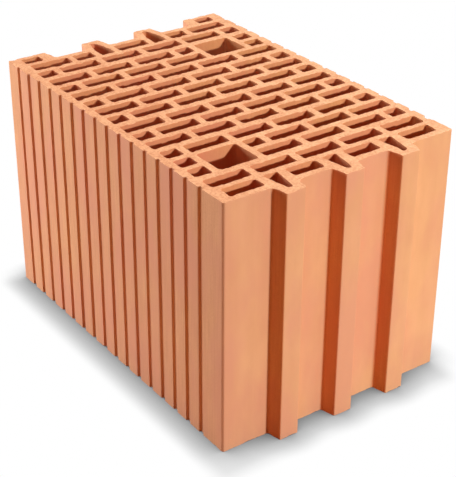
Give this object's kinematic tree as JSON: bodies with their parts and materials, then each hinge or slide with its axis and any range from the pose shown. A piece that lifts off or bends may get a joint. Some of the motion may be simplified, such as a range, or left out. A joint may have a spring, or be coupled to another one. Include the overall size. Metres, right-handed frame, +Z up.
{
  "type": "hollow clay block",
  "caption": "Upright-slotted fired clay wall block with ground bed faces, grip holes, combed sides and interlocking tongue and groove ends.",
  "frame": {"origin": "middle of the whole block's outline, tongues included, on the bottom bed face", "axes": "+Z up along the slots; +Y from the tongued end to the grooved end; +X across the wall, between the combed sides"},
  "size_m": [0.25, 0.388, 0.249],
  "materials": {
    "fired_clay": "unglazed porous fired clay, die-drawn sides, ground bed faces"
  },
  "bodies": {
    "root": {"clay_block": "fired_clay"}
  },
  "joints": []
}
